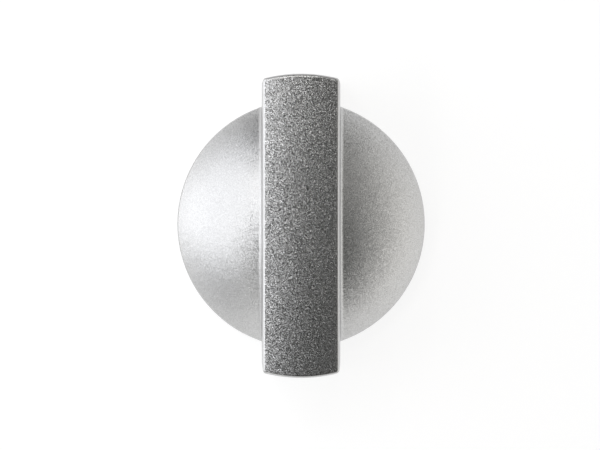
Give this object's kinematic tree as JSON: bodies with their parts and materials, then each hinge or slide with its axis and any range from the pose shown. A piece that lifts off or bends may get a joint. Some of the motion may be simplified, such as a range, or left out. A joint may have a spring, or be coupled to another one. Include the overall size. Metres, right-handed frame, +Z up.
{
  "type": "burner knob",
  "caption": "Domed disc knob with a raised straight grip bar across it, hollow underneath, with a D socket and spring clip for a hob tap spindle.",
  "frame": {"origin": "on the axis of the tap spindle, in the plane that the foot of the skirt stands in", "axes": "+Z up through the crown of the grip; +Y along the grip bar; the flat of the D socket is towards +X"},
  "size_m": [0.042, 0.0508, 0.024],
  "materials": {
    "silver_painted_abs": "satin silver flake lacquer on moulded ABS, bare grey inside",
    "spring_steel": "tempered spring steel, lightly oiled",
    "zinc_plated_steel": "bright zinc plating"
  },
  "bodies": {
    "root": {"knob_body": "silver_painted_abs", "spindle_clip": "spring_steel", "stem_ring": "zinc_plated_steel"}
  },
  "joints": []
}
